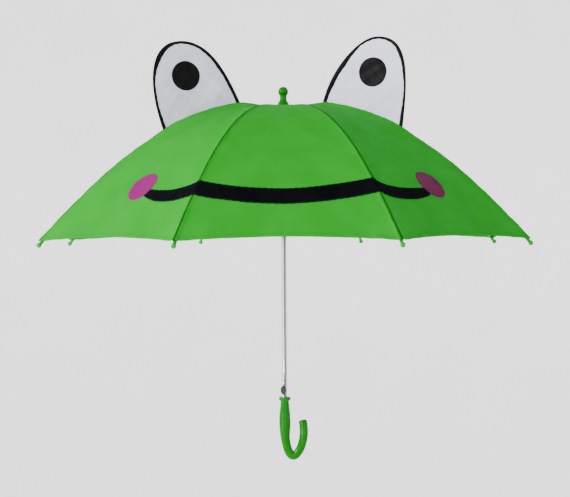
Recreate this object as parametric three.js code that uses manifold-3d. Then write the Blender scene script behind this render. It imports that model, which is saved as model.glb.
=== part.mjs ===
// Children's umbrella with a frog's face: eight sprung-steel ribs on a plated tube, opened by hand, held
// open by a catch in the shaft and held shut by a second catch with a push button above the crook handle.
//
// Millimetres. +Z runs up the shaft. The origin is on the shaft's axis, level with the top of the
// handle's collar. The frog looks towards -Y. Rib 1 is the front left one and the others follow
// counter-clockwise from above.
// Each rib is drawn in its own frame: X outward from the shaft, Y along the hinge, Z up.

import * as THREE from "three";
import { mergeVertices } from "three/addons/utils/BufferGeometryUtils.js";
import Module from "manifold-3d";

const wasm = await Module();
wasm.setup();

// ---------------------------------------------------------------- driving dimensions

const RIBS = 8;
const FIRST_RIB = -112.5; // degrees counter-clockwise from +X
const HALF_GORE = 180 / RIBS; // degrees between a rib and the middle of the gore beside it
const GAP = 0.3; // left between pieces that touch

const SHAFT = { radius: 4, wall: 0.6, bottom: -38, top: 486.5 };
const BORE = SHAFT.radius + GAP; // every hole that the shaft passes through

const CROWN_Z = 458; // height of the rib hinges
const HINGE_R = 9.5; // from the shaft's axis to the hinges of ribs and stretchers
const WIRE = 0.6; // radius of the two hinge wires
const EYELET = { radius: 2.1, hole: 1, width: 2.2 };

const RIB_LENGTH = 460; // hinge to the middle of the tip's ball, along the rib
const SLOPE = { start: -8.2, gain: 109, ease: -53.3 }; // degrees below level, by share of the rib's length
const CHANNEL = { half: 1.6, wall: 0.6, from: 5, to: 446 };
const RIB_PIN = { half: 0.9, from: 440, to: 455.6 }; // the flattened end that the tip takes

const RIVET = { radius: 0.75, hole: 1.05, at: 214, drop: 0.3, head: 1.5, headHeight: 0.5 };
const STRETCHER = { half: 1.5, hollow: 1.8, eyelet: 2 };
const FORK = { inner: 1.95, ear: 0.8, round: 1.9, reach: 12.5, block: 3 };
const ARM_HALF = 1.2; // of the flattened neck between an eyelet and its channel

const TIP = { ball: 3.7, outer: 2.4, inner: 1.75, back: -12.5, end: -3.2 }; // from the middle of its ball

const CLOTH = { lift: 3, thick: 0.9, from: 11, hem: 455, scallop: 12, sag: 0.012 };
const CLOTH_TOP = CLOTH.lift + CLOTH.thick;

const HUB = {
  radius: 12.5,
  core: 6.5,
  groove: 8.2,
  slotFrom: 7,
  slot: 2.8,
  open: 2.4,
  roof: 3.2,
  floor: 2.5,
};
const GROOVE_HALF = 0.95; // half the height of the groove that the hinge wire lies in
const NOTCH_DOWN = 10; // how far the notch's core reaches below its hinges
const RUNNER = { bore: 4.35, sleeve: 6.8, rim: 8.4, up: 4.2, down: 35.9, rimTall: 1.6, shoulder: 2.6 };
const WINDOW = { low: -32.8, high: -21.4, width: 3.4 }; // in the runner's sleeve, from its hinges

// The catches are leaves inside the shaft; strip is where a leaf lies, reach how far its tongue comes out.
const CATCH = {
  turn: FIRST_RIB,
  strip: [1.6, 2.3],
  width: 3,
  tongue: 1.7,
  reach: 6.2,
  slack: 0.4,
  toe: 0.6,
  leaf: 40,
  root: 0.2,
  heel: 0.4,
};
const BOTTOM_CATCH = { low: 24, high: 33.6, foot: -20 };
const BUTTON = {
  z: 11.3,
  half: [4.3, 6.8],
  face: 8.2,
  travel: 2.4,
  bevel: 0.6,
  stem: [1, 2.4],
  play: 0.05,
};

// An eye stands on its rib from base[0] to base[1] and rises to its apex; the other pairs steer its sides.
const EYES = [
  {
    side: "left",
    rib: 8,
    base: [71, 199.5],
    apex: [168, 562],
    inner: [20, 41],
    outer: [27, 73],
    brow: [49, 58],
  },
  {
    side: "right",
    rib: 3,
    base: [65.5, 196],
    apex: [156, 569],
    inner: [15, 62],
    outer: [11, 88],
    brow: [26, 54],
  },
];
const EYE = { thick: 1, binding: 2, sleeve: 1.25, wire: 0.8, foot: 7, hem: 5, steps: 28 };

const STRAP = { rib: 6, from: 262, to: 402, half: 9, thick: 0.8 };

const PATCH_R = 18.3; // of the round of cloth under the ferrule
const SKIRT_LIFT = 0.5; // the ferrule's skirt stands this far off the patch
const FERRULE = { skirt: 10.2, ball: 8.2, ballZ: 489.7, neck: 5.5, neckZ: 478.4, roof: SHAFT.top + 0.7 };
const FERRULE_FLARE = [[9.9, 466.2], [9.2, 470.3], [7.4, 473.2], [6, 475.6]]; // radius and z, going up

// Radius and z of the handle, from inside the crook up to the collar's rim.
const GRIP = [
  [7.2, -66],
  [8.2, -58],
  [9, -48],
  [9.25, -39],
  [8.8, -28],
  [7.7, -17],
  [6.7, -7.4],
  [8.3, -5.9],
  [9.5, -4.2],
  [9.5, -1.7],
  [8.3, 0],
];
// The middle of the crook as three cubic curves that run on from each other, x and z.
const CROOK = [
  [[0, -54], [0, -74], [5.5, -95], [13.1, -95]],
  [[13.1, -95], [21, -95], [30.4, -76], [30.4, -56]],
  [[30.4, -56], [30.4, -50], [29.8, -44.5], [28.9, -39.6]],
];
const CROOK_R = 6.9;
const CROOK_END = [[0, -2], [5.6, -2], [5.9, 1.4], [4.6, 2.7], [0, 3]];

// ---------------------------------------------------------------- materials

function material(color, roughness, metalness = 0) {
  return new THREE.MeshStandardMaterial({ color, roughness, metalness, side: THREE.DoubleSide });
}
const chrome = () => material(0xc8cbd0, 0.18, 1);
const ribSteel = () => material(0xb4b7bb, 0.35, 1);
const springSteel = () => material(0x9a9ca0, 0.3, 1);
const wireSteel = () => material(0x8a8c90, 0.4, 1);
const greenPlastic = () => material(0x0aa514, 0.22);
const tipPlastic = () => material(0x3fc246, 0.3);
const whitePlastic = () => material(0xe8e8e4, 0.4);
const blackPlastic = () => material(0x141517, 0.35);
const greenCloth = () => material(0x4ca642, 0.75);
const whiteCloth = () => material(0xd9d9e0, 0.8);
const blackCloth = () => material(0x121316, 0.8);

// ---------------------------------------------------------------- solids

const rad = THREE.MathUtils.degToRad;

// Hands a closed geometry to the boolean library, without the triangles that a lathe squashes flat.
function toSolid(geometry) {
  const bare = geometry.clone();
  bare.deleteAttribute("normal");
  bare.deleteAttribute("uv");
  const merged = mergeVertices(bare, 1e-4);
  const corners = merged.index.array;
  const kept = [];
  for (let i = 0; i < corners.length; i += 3) {
    const [a, b, c] = corners.slice(i, i + 3);
    if (a !== b && b !== c && c !== a) kept.push(a, b, c);
  }
  return new wasm.Manifold(
    new wasm.Mesh({
      numProp: 3,
      vertProperties: merged.attributes.position.array,
      triVerts: new Uint32Array(kept),
    }),
  );
}

function toGeometry(solid) {
  const { vertProperties, triVerts } = solid.getMesh();
  const geometry = new THREE.BufferGeometry();
  geometry.setAttribute("position", new THREE.BufferAttribute(new Float32Array(vertProperties), 3));
  geometry.setIndex(new THREE.BufferAttribute(new Uint32Array(triVerts), 1));
  geometry.computeVertexNormals();
  return geometry;
}

function joined(pieces) {
  return pieces.map(toSolid).reduce((sum, piece) => sum.add(piece));
}

function cutFrom(solid, pieces) {
  return pieces.map(toSolid).reduce((left, piece) => left.subtract(piece), solid);
}

// A solid of revolution about Z from [radius, z] pairs, which start and end on the axis or form a loop.
function turned(profile, sides = 24) {
  const points = profile.map(([r, z]) => new THREE.Vector2(r, z));
  const outward = THREE.ShapeUtils.area(points) < 0 ? points.reverse() : points;
  return new THREE.LatheGeometry(outward, sides).rotateX(Math.PI / 2);
}

// A ring of revolution with a rectangular section.
function ring(inner, outer, low, high, sides = 24) {
  return turned([[inner, low], [outer, low], [outer, high], [inner, high], [inner, low]], sides);
}

// A solid bar round Z.
function bar(radius, low, high, sides = 20) {
  return turned([[0, low], [radius, low], [radius, high], [0, high]], sides);
}

// A flat outline in the X-Z plane, made into a plate that is width wide along Y and centred on y.
function plate(shape, width, y = 0) {
  return new THREE.ExtrudeGeometry(shape, { depth: width, bevelEnabled: false, curveSegments: 4 })
    .rotateX(Math.PI / 2)
    .translate(0, y + width / 2, 0);
}

function rectangle(x0, z0, x1, z1) {
  return new THREE.Shape([
    new THREE.Vector2(x0, z0),
    new THREE.Vector2(x1, z0),
    new THREE.Vector2(x1, z1),
    new THREE.Vector2(x0, z1),
  ]);
}

function disc(x, z, radius) {
  return new THREE.Shape().absarc(x, z, radius, 0, 2 * Math.PI);
}

function outline(pairs) {
  return new THREE.Shape(pairs.map(([x, z]) => new THREE.Vector2(x, z)));
}

// ---------------------------------------------------------------- the rib's curve

function ribSlope(s) {
  const t = s / RIB_LENGTH;
  return rad(SLOPE.start + SLOPE.gain * t + SLOPE.ease * t * t);
}

// The point at distance s along the rib, raised square to it by lift: x outward, y up.
function ribPoint(s, lift = 0) {
  const steps = 92;
  const point = new THREE.Vector2(HINGE_R, CROWN_Z);
  for (let i = 0; i < steps; i++) {
    const slope = ribSlope(((i + 0.5) * s) / steps);
    point.x += (Math.cos(slope) * s) / steps;
    point.y -= (Math.sin(slope) * s) / steps;
  }
  const here = ribSlope(s);
  return new THREE.Vector2(point.x + lift * Math.sin(here), point.y + lift * Math.cos(here));
}

// The distance along the rib at which it is r from the shaft's axis.
function ribDistance(r) {
  let s = r;
  for (let i = 0; i < 12; i++) s += (r - ribPoint(s).x) / Math.cos(ribSlope(s));
  return s;
}

// A strip of the rib's radial plane between two distances along it and two lifts off it.
function ribStrip(from, to, low, high, steps) {
  const at = (i) => from + ((to - from) * i) / steps;
  const upper = Array.from({ length: steps + 1 }, (_, i) => ribPoint(at(i), high));
  const lower = Array.from({ length: steps + 1 }, (_, i) => ribPoint(at(steps - i), low));
  return new THREE.Shape([...upper, ...lower]);
}

// The linkage is isosceles: the stretcher is as long as the inner part of the rib.
const rivetPoint = ribPoint(RIVET.at, -RIVET.drop);
const LINK = Math.hypot(rivetPoint.x - HINGE_R, CROWN_Z - rivetPoint.y);
const LINK_SLOPE = Math.atan2(CROWN_Z - rivetPoint.y, rivetPoint.x - HINGE_R);
const RUNNER_Z = CROWN_Z - 2 * LINK * Math.sin(LINK_SLOPE);

// ---------------------------------------------------------------- ribs, stretchers, tips

// A steel channel, open below, with an eyelet at the crown, a rivet hole and a flattened pin for the tip.
function ribGeometry() {
  const { half, wall, from, to } = CHANNEL;
  const steps = 14;
  const hollow = plate(ribStrip(from - 2, to + 2, -half - 1, half - wall, steps), 2 * (half - wall));
  const channel = cutFrom(toSolid(plate(ribStrip(from, to, -half, half, steps), 2 * half)), [hollow]);
  const tongues = joined([
    plate(disc(HINGE_R, CROWN_Z, EYELET.radius), EYELET.width),
    plate(ribStrip(0, 2 * from, -ARM_HALF, ARM_HALF, 2), EYELET.width),
  ]);
  const pinStrip = ribStrip(RIB_PIN.from, RIB_PIN.to, -RIB_PIN.half, RIB_PIN.half, 2);
  const pin = toSolid(plate(pinStrip, EYELET.width));
  return toGeometry(
    cutFrom(channel.add(tongues).add(pin), [
      plate(disc(HINGE_R, CROWN_Z, EYELET.hole), 3 * EYELET.width),
      plate(disc(rivetPoint.x, rivetPoint.y, RIVET.hole), 4 * half),
    ]),
  );
}

// Drawn along X from the runner's hinge: eyelet, channel, then a fork with its rivet that clasps the rib.
function stretcherGeometry() {
  const { half, hollow, eyelet } = STRETCHER;
  const forkEnd = LINK - FORK.reach;
  const earY = FORK.inner + FORK.ear / 2;
  const outside = 2 * (FORK.inner + FORK.ear);
  const channel = cutFrom(toSolid(plate(rectangle(CHANNEL.from, -half, forkEnd, half), 2 * half)), [
    plate(rectangle(CHANNEL.from - 1, -half - 1, forkEnd - FORK.block, half - CHANNEL.wall), hollow),
  ]);
  const ears = [-earY, earY].flatMap((y) => [
    plate(rectangle(forkEnd - 1, -half, LINK, half), FORK.ear, y),
    plate(disc(LINK, 0, FORK.round), FORK.ear, y),
  ]);
  const heads = [-1, 1].map((side) =>
    plate(disc(LINK, 0, RIVET.head), 2 * RIVET.headHeight, (side * outside) / 2),
  );
  const rest = joined([
    plate(disc(0, 0, EYELET.radius), eyelet),
    plate(rectangle(0, -ARM_HALF, 2 * CHANNEL.from, ARM_HALF), eyelet),
    plate(rectangle(forkEnd - FORK.block, -half, forkEnd, half), outside),
    ...ears,
    ...heads,
    plate(disc(LINK, 0, RIVET.radius), outside),
  ]);
  return toGeometry(cutFrom(channel.add(rest), [plate(disc(0, 0, EYELET.hole), 3 * EYELET.width)]));
}

// A ball with a short sleeve over the rib's pin; X runs outward along the rib, from the ball's middle.
function tipGeometry() {
  const { ball, outer, inner, back, end } = TIP;
  const neck = Math.asin(outer / ball);
  const arc = Array.from({ length: 6 }, (_, i) => (Math.PI - neck) * (1 - i / 5));
  return turned(
    [
      [0, end],
      [inner, end],
      [inner, back],
      [outer, back],
      ...arc.map((a) => [ball * Math.sin(a), ball * Math.cos(a)]),
    ].map(([r, x], i, all) => [i === all.length - 1 ? 0 : r, x]),
    9,
  ).rotateY(Math.PI / 2);
}

// ---------------------------------------------------------------- canopy

// A point of the half gore that lies counter-clockwise of a rib: s along the rib, w from the rib (0) to the
// gore's middle (1). Cloth runs straight from rib to rib and sags a little inward between them.
function clothPoint(s, w, lift) {
  const rib = ribPoint(s, lift);
  const halfChord = rib.x * Math.sin(rad(HALF_GORE));
  const along = GAP / 2 + w * (halfChord - GAP);
  const sag = CLOTH.sag * rib.x * (1 - (1 - w) ** 2);
  const inward = sag * Math.sin(ribSlope(s));
  return new THREE.Vector3(
    rib.x - along * Math.sin(rad(HALF_GORE)) - inward * Math.cos(rad(HALF_GORE)),
    along * Math.cos(rad(HALF_GORE)) - inward * Math.sin(rad(HALF_GORE)),
    rib.y - sag * Math.cos(ribSlope(s)),
  );
}

function halfGoreGeometry() {
  const geometry = new THREE.BoxGeometry(1, 1, 1, 12, 2, 1);
  const position = geometry.getAttribute("position");
  for (let i = 0; i < position.count; i++) {
    const w = position.getY(i) + 0.5;
    const hem = CLOTH.hem - CLOTH.scallop * (1 - (1 - w) ** 2);
    const s = CLOTH.from + (position.getX(i) + 0.5) * (hem - CLOTH.from);
    const point = clothPoint(s, w, CLOTH.lift + (position.getZ(i) + 0.5) * CLOTH.thick);
    position.setXYZ(i, point.x, point.y, point.z);
  }
  geometry.computeVertexNormals();
  return geometry;
}

function strapGeometry() {
  const low = CLOTH_TOP + GAP;
  return plate(ribStrip(STRAP.from, STRAP.to, low, low + STRAP.thick, 8), 2 * STRAP.half);
}

// ---------------------------------------------------------------- eyes

// The eye's outer edge from its foot nearest the shaft, over the apex, to its outer foot.
function eyeEdge(eye) {
  const foot = (r) => ribPoint(ribDistance(r), EYE.foot);
  const [a, c] = eye.base.map(foot);
  const apex = new THREE.Vector2(...eye.apex);
  const rise = new THREE.CubicBezierCurve(
    a,
    new THREE.Vector2(a.x + eye.inner[0], a.y + eye.inner[1]),
    new THREE.Vector2(apex.x - eye.brow[0], apex.y),
    apex,
  );
  const fall = new THREE.CubicBezierCurve(
    apex,
    new THREE.Vector2(apex.x + eye.brow[1], apex.y),
    new THREE.Vector2(c.x + eye.outer[0], c.y + eye.outer[1]),
    c,
  );
  const edge = new THREE.CurvePath();
  edge.add(rise);
  edge.add(fall);
  return edge.getSpacedPoints(EYE.steps);
}

// The same edge moved inward by a distance.
function inset(points, distance) {
  return points.map((point, i) => {
    const before = points[Math.max(i - 1, 0)];
    const after = points[Math.min(i + 1, points.length - 1)];
    const run = after.clone().sub(before).normalize();
    return new THREE.Vector2(point.x + run.y * distance, point.y - run.x * distance);
  });
}

function eyePanelGeometry(eye) {
  const sides = inset(eyeEdge(eye), 2 * EYE.binding + GAP);
  const from = ribDistance(eye.base[0]) + 3 * EYE.binding;
  const to = ribDistance(eye.base[1]) - 3 * EYE.binding;
  const hem = Array.from({ length: 6 }, (_, i) => ribPoint(to + ((from - to) * i) / 5, EYE.hem));
  return plate(new THREE.Shape([...sides, ...hem]), EYE.thick);
}

// A round bar, or a sleeve if it has a hole, that follows the middle of the eye's binding.
function eyeHoopGeometry(eye, radius, hole) {
  const section = new THREE.Shape().absarc(0, 0, radius, 0, 2 * Math.PI);
  if (hole) section.holes.push(new THREE.Path().absarc(0, 0, hole, 0, 2 * Math.PI, true));
  const points = inset(eyeEdge(eye), EYE.binding).map((p) => new THREE.Vector3(p.x, 0, p.y));
  const extrudePath = new THREE.CatmullRomCurve3(points);
  return new THREE.ExtrudeGeometry(section, { steps: EYE.steps, curveSegments: hole ? 3 : 2, extrudePath });
}

// ---------------------------------------------------------------- crown, runner, ferrule

// Cuts the wire's groove and one slot for each arm into a hub whose hinges lie at z = 0.
function slottedHub(body, low, high) {
  const groove = ring(HUB.groove, HUB.radius + 1, -GROOVE_HALF, GROOVE_HALF);
  const reach = HUB.radius + 1 - HUB.slotFrom;
  const slots = Array.from({ length: RIBS }, (_, i) =>
    new THREE.BoxGeometry(reach, HUB.slot, high - low)
      .translate(HUB.slotFrom + reach / 2, 0, (low + high) / 2)
      .rotateZ(rad(FIRST_RIB + i * 2 * HALF_GORE)),
  );
  return cutFrom(body, [groove, ...slots]);
}

function notchGeometry() {
  const profile = [
    [BORE, -NOTCH_DOWN],
    [HUB.core, -NOTCH_DOWN],
    [HUB.core, -HUB.open],
    [HUB.radius, -HUB.open],
    [HUB.radius, HUB.roof],
    [BORE, HUB.roof],
    [BORE, -NOTCH_DOWN],
  ];
  const hub = slottedHub(toSolid(turned(profile)), -NOTCH_DOWN - 1, HUB.floor);
  return toGeometry(hub).translate(0, 0, CROWN_Z);
}

function runnerGeometry() {
  const profile = [
    [RUNNER.bore, -RUNNER.down],
    [RUNNER.rim, -RUNNER.down],
    [RUNNER.rim, -RUNNER.down + RUNNER.rimTall],
    [RUNNER.sleeve, -RUNNER.down + RUNNER.shoulder],
    [RUNNER.sleeve, -HUB.roof],
    [HUB.radius, -HUB.roof],
    [HUB.radius, HUB.open],
    [HUB.core, HUB.open],
    [HUB.core, RUNNER.up],
    [RUNNER.bore, RUNNER.up],
    [RUNNER.bore, -RUNNER.down],
  ];
  const window = new THREE.BoxGeometry(RUNNER.rim, WINDOW.width, WINDOW.high - WINDOW.low)
    .translate(RUNNER.bore + RUNNER.rim / 4, 0, (WINDOW.high + WINDOW.low) / 2)
    .rotateZ(rad(CATCH.turn));
  const hub = slottedHub(toSolid(turned(profile)), -HUB.floor, RUNNER.up + 1);
  return toGeometry(cutFrom(hub, [window])).translate(0, 0, RUNNER_Z);
}

function hingeWireGeometry(z) {
  return new THREE.TorusGeometry(HINGE_R, WIRE, 6, 32).translate(0, 0, z);
}

function ferruleGeometry() {
  const base = CROWN_Z + HUB.roof + GAP + CLOTH.thick + SKIRT_LIFT;
  const { skirt, ball, ballZ, neck, neckZ, roof } = FERRULE;
  const from = Math.PI - Math.asin(neck / ball);
  const arc = Array.from({ length: 8 }, (_, i) => from * (1 - i / 7));
  return turned(
    [
      [0, roof],
      [BORE, roof],
      [BORE, base],
      [skirt, base],
      ...FERRULE_FLARE,
      [neck, neckZ],
      ...arc.map((a, i) => [i === 7 ? 0 : ball * Math.sin(a), ballZ + ball * Math.cos(a)]),
    ],
    20,
  );
}

function crownPatchGeometry() {
  const low = CROWN_Z + HUB.roof + GAP;
  return ring(BORE, PATCH_R, low, low + CLOTH.thick, 24);
}

// ---------------------------------------------------------------- shaft, catches, button

// A slot through the front of the shaft's wall, for a piece that is wide by [low, high].
function shaftSlot(width, low, high) {
  return new THREE.BoxGeometry(SHAFT.radius, width + 2 * GAP, high - low + 2 * GAP)
    .translate(SHAFT.radius, 0, (low + high) / 2)
    .rotateZ(rad(CATCH.turn));
}

const topCatch = {
  high: RUNNER_Z + WINDOW.high - CATCH.slack,
  low: RUNNER_Z + WINDOW.low + CATCH.slack + CATCH.toe,
};

function shaftGeometry() {
  const tube = toSolid(ring(SHAFT.radius - SHAFT.wall, SHAFT.radius, SHAFT.bottom, SHAFT.top, 20));
  return toGeometry(
    cutFrom(tube, [
      shaftSlot(CATCH.tongue, topCatch.low, topCatch.high),
      shaftSlot(CATCH.tongue, BOTTOM_CATCH.low, BOTTOM_CATCH.high),
      shaftSlot(2 * BUTTON.stem[0], BUTTON.z - BUTTON.stem[1], BUTTON.z + BUTTON.stem[1]),
    ]),
  );
}

// A leaf inside the shaft with a three-cornered tongue, square at z = square and sloping away to z = taper.
function catchGeometry(square, taper, low, high) {
  const [inner, outer] = CATCH.strip;
  const side = Math.sign(taper - square);
  const tongue = outline([
    [inner + CATCH.root, square],
    [CATCH.reach, square],
    [CATCH.reach, square + side],
    [SHAFT.radius, taper - side * CATCH.heel],
    [inner + CATCH.root, taper],
  ]);
  return toGeometry(
    joined([plate(rectangle(inner, low, outer, high), CATCH.width), plate(tongue, CATCH.tongue)]),
  ).rotateZ(rad(CATCH.turn));
}

// An oval cap astride the shaft, hollowed so that it can be pressed in, with a stem through the slot.
function buttonGeometry() {
  const { z, half, face, travel, bevel, stem, play } = BUTTON;
  const outward = new THREE.Matrix4().makeBasis(
    new THREE.Vector3(0, 1, 0),
    new THREE.Vector3(0, 0, 1),
    new THREE.Vector3(1, 0, 0),
  );
  const oval = new THREE.Shape().absellipse(0, z, half[0] - bevel, half[1] - bevel, 0, 2 * Math.PI);
  const cap = new THREE.ExtrudeGeometry(oval, {
    depth: face - bevel,
    bevelThickness: bevel,
    bevelSize: bevel,
    bevelSegments: 1,
    curveSegments: 9,
  }).applyMatrix4(outward);
  const tall = 3 * half[1];
  const saddle = bar(BORE + play, z - tall / 2, z + tall / 2);
  const cavity = [saddle.clone(), saddle.clone().translate(travel, 0, 0)];
  const between = new THREE.BoxGeometry(travel, 2 * BORE + play, tall).translate(travel / 2, 0, z);
  const behind = new THREE.BoxGeometry(face, 3 * half[0], tall).translate(-face / 2, 0, z);
  const stalkFrom = CATCH.strip[1] + GAP;
  const stalk = new THREE.BoxGeometry(face - stalkFrom - 1, 2 * stem[0], 2 * stem[1])
    .translate((face - 1 + stalkFrom) / 2, 0, z);
  return toGeometry(cutFrom(toSolid(cap), [...cavity, between, behind]).add(toSolid(stalk))).rotateZ(
    rad(CATCH.turn),
  );
}

// ---------------------------------------------------------------- handle

// The middle of the crook, from inside the grip round to its end.
function crookPath() {
  const path = new THREE.CurvePath();
  for (const curve of CROOK) {
    path.add(new THREE.CubicBezierCurve3(...curve.map(([x, z]) => new THREE.Vector3(x, 0, z))));
  }
  return path;
}

function handleGeometry() {
  const grip = turned([[0, GRIP[0][1]], ...GRIP, [0, 0]], 20);
  const crook = new THREE.ExtrudeGeometry(new THREE.Shape().absarc(0, 0, CROOK_R, 0, 2 * Math.PI), {
    steps: 20,
    curveSegments: 8,
    extrudePath: crookPath(),
  });
  const [before, last] = CROOK[CROOK.length - 1].slice(2);
  const end = turned(CROOK_END, 16)
    .rotateY(Math.atan2(last[0] - before[0], last[1] - before[1]))
    .translate(last[0], 0, last[1]);
  const socket = bar(BORE, SHAFT.bottom - 2, 1);
  return toGeometry(cutFrom(joined([grip, crook, end]), [socket]));
}

// ---------------------------------------------------------------- assembly

const umbrella = new THREE.Group();
umbrella.name = "childrens_umbrella";

function add(name, geometry, look, parent = umbrella) {
  const mesh = new THREE.Mesh(geometry, look);
  mesh.name = name;
  parent.add(mesh);
  return mesh;
}

// A group in the frame of a numbered rib.
function ribFrame(number) {
  const frame = new THREE.Group();
  frame.rotation.z = rad(FIRST_RIB + (number - 1) * 2 * HALF_GORE);
  umbrella.add(frame);
  return frame;
}

add("shaft", shaftGeometry(), chrome());
add("ferrule", ferruleGeometry(), greenPlastic());
add("crown_notch", notchGeometry(), whitePlastic());
add("crown_hinge_wire", hingeWireGeometry(CROWN_Z), wireSteel());
add("crown_patch", crownPatchGeometry(), greenCloth());
add("handle", handleGeometry(), greenPlastic());
add("runner", runnerGeometry(), whitePlastic());
add("runner_hinge_wire", hingeWireGeometry(RUNNER_Z), wireSteel());
add(
  "top_catch",
  catchGeometry(topCatch.high, topCatch.low, topCatch.low - CATCH.leaf, topCatch.high),
  springSteel(),
);
add(
  "bottom_catch",
  catchGeometry(BOTTOM_CATCH.low, BOTTOM_CATCH.high, BOTTOM_CATCH.foot, BOTTOM_CATCH.high),
  springSteel(),
);
add("push_button", buttonGeometry(), blackPlastic());

const shapes = {
  rib: ribGeometry(),
  stretcher: stretcherGeometry(),
  tip: tipGeometry(),
  halfGore: halfGoreGeometry(),
};

for (let number = 1; number <= RIBS; number++) {
  const frame = ribFrame(number);
  const before = number === 1 ? RIBS : number - 1;
  add(`rib_${number}`, shapes.rib, ribSteel(), frame);

  const stretcher = add(`stretcher_${number}`, shapes.stretcher, ribSteel(), frame);
  stretcher.position.set(HINGE_R, 0, RUNNER_Z);
  stretcher.rotation.y = -LINK_SLOPE;

  const tip = add(`rib_tip_${number}`, shapes.tip, tipPlastic(), frame);
  const end = ribPoint(RIB_LENGTH - 0.5);
  tip.position.set(end.x, 0, end.y);
  tip.rotation.y = ribSlope(RIB_LENGTH);

  add(`gore_${number}_left`, shapes.halfGore, greenCloth(), frame);
  add(`gore_${before}_right`, shapes.halfGore, greenCloth(), frame).scale.y = -1;
}

for (const eye of EYES) {
  const frame = ribFrame(eye.rib);
  add(`eye_panel_${eye.side}`, eyePanelGeometry(eye), whiteCloth(), frame);
  add(`eye_binding_${eye.side}`, eyeHoopGeometry(eye, EYE.binding, EYE.sleeve), blackCloth(), frame);
  add(`eye_wire_${eye.side}`, eyeHoopGeometry(eye, EYE.wire), springSteel(), frame);
}

add("closing_strap", strapGeometry(), greenCloth(), ribFrame(STRAP.rib));

export default umbrella;
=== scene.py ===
"""The looks of a children's umbrella: sewn canopy with a frog's face, steel, and moulded plastic.

Shapes are worked out in millimetres in the frame of the CAD model and turned into metres as each mesh
is made. A rib's own frame has x outward from the shaft, y along its hinge and z up.
"""

import math

import bpy
import numpy as np
from mathutils import Matrix, Vector


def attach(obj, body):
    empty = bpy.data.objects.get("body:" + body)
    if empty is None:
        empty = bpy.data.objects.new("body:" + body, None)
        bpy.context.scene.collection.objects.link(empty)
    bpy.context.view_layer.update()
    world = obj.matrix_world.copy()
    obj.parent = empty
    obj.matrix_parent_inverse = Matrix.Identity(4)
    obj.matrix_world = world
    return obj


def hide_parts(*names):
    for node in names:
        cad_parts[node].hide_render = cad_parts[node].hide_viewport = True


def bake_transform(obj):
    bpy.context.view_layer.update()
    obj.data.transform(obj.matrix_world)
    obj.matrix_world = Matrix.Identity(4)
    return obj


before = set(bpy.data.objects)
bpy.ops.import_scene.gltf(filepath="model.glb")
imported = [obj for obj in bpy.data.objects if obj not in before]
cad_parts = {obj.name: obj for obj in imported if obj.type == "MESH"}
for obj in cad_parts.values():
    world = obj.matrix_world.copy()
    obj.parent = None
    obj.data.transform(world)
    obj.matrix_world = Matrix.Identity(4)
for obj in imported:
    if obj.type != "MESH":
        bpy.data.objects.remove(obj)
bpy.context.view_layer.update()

MM = 0.001
PI = math.pi

# ------------------------------------ the umbrella's sizes, as in the CAD

RIBS = 8
HALF_GORE = math.radians(22.5)
FIRST_RIB = math.radians(-112.5)
CATCH_TURN = FIRST_RIB

HINGE_R = 9.5
CROWN_Z = 458.0
RIB_LENGTH = 460.0
SLOPE = (-8.2, 109.0, -53.3)

CLOTH_TOP = 3.75
HEM = 455.2
SCALLOP = 12.0
SAG = 0.012

SHAFT_R = 4.0
SHAFT_WALL = 0.6
SHAFT_ENDS = (-30, 486)
SHAFT_SLOTS = ((4.0, 18.6, 3), (23.7, 33.9, 3), (328.1, 339.7, 3))  # from, to, half width in facets

# ------------------------------------ the rib's curve and the cloth over it

S = np.linspace(0, 466, 933)
ANGLE = np.radians(SLOPE[0] + SLOPE[1] * S / RIB_LENGTH + SLOPE[2] * (S / RIB_LENGTH) ** 2)


def running_sum(values):
    return np.concatenate([[0], np.cumsum((values[1:] + values[:-1]) / 2 * np.diff(S))])


RIB_X = HINGE_R + running_sum(np.cos(ANGLE))
RIB_Z = CROWN_Z - running_sum(np.sin(ANGLE))


def rib_curve(s, lift=0.0):
    """x, z and slope of the point at distance s along a rib, raised square to it by lift."""
    angle = np.interp(s, S, ANGLE)
    x = np.interp(s, S, RIB_X) + lift * np.sin(angle)
    z = np.interp(s, S, RIB_Z) + lift * np.cos(angle)
    return x, z, angle


def rib_distance(x):
    return np.interp(x, RIB_X, S)


def hem_distance(w):
    """How far down the cloth reaches: w is 0 at a rib and 1 midway to the next."""
    return HEM - SCALLOP * (1 - (1 - w) ** 2)


def half_chord(s):
    return (np.interp(s, S, RIB_X) + CLOTH_TOP * np.sin(np.interp(s, S, ANGLE))) * math.sin(HALF_GORE)


EYE_RIBS = (8, 3)
RIDGE = ([15, 45, 62, 90, 125, 180, 200, 222], [0, 4.6, 7.4, 6.4, 5.2, 4.4, 2.4, 0])
RIDGE_REACH = 17.0
OWN_MARGIN = 0.4  # the share of a half gore over which the rib's own relief dies away
SEAM = {"high": 0.75, "from": 2.7, "wide": 1.7, "dip": 0.75, "dip_wide": 0.9}
BUNCH = {"high": 0.9, "from": 360, "over": 70, "wavy": 0.25, "wavy_from": 300, "wavy_over": 100}
PUCKER = ({"high": 0.2, "period": 10.5, "reach": 9}, {"high": 0.22, "period": 33, "reach": 22})
HEM_FOLD = {"high": 0.4, "deep": 8, "step": 1.6}
RIPPLE = {"high": 0.16, "reach": 10, "period": 1.9}
PULL = {"high": 0.55, "up": 75, "across": 60, "period": 4.5, "spread": 0.075}
WAVE = {"high": 0.8, "period": 150}


def eye_ridge(s, d, rib):
    """How far an eye, sewn along its rib, lifts the cloth beside its seam."""
    if rib not in EYE_RIBS:
        return 0.0
    return np.interp(s, *RIDGE) * np.exp(-((d / RIDGE_REACH) ** 1.3))


def own_share(w):
    """How much of a rib's own relief is left: none at the gore's middle, where the other half joins."""
    part = np.clip((1 - w) / OWN_MARGIN, 0, 1)
    return part * part * (3 - 2 * part)


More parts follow.
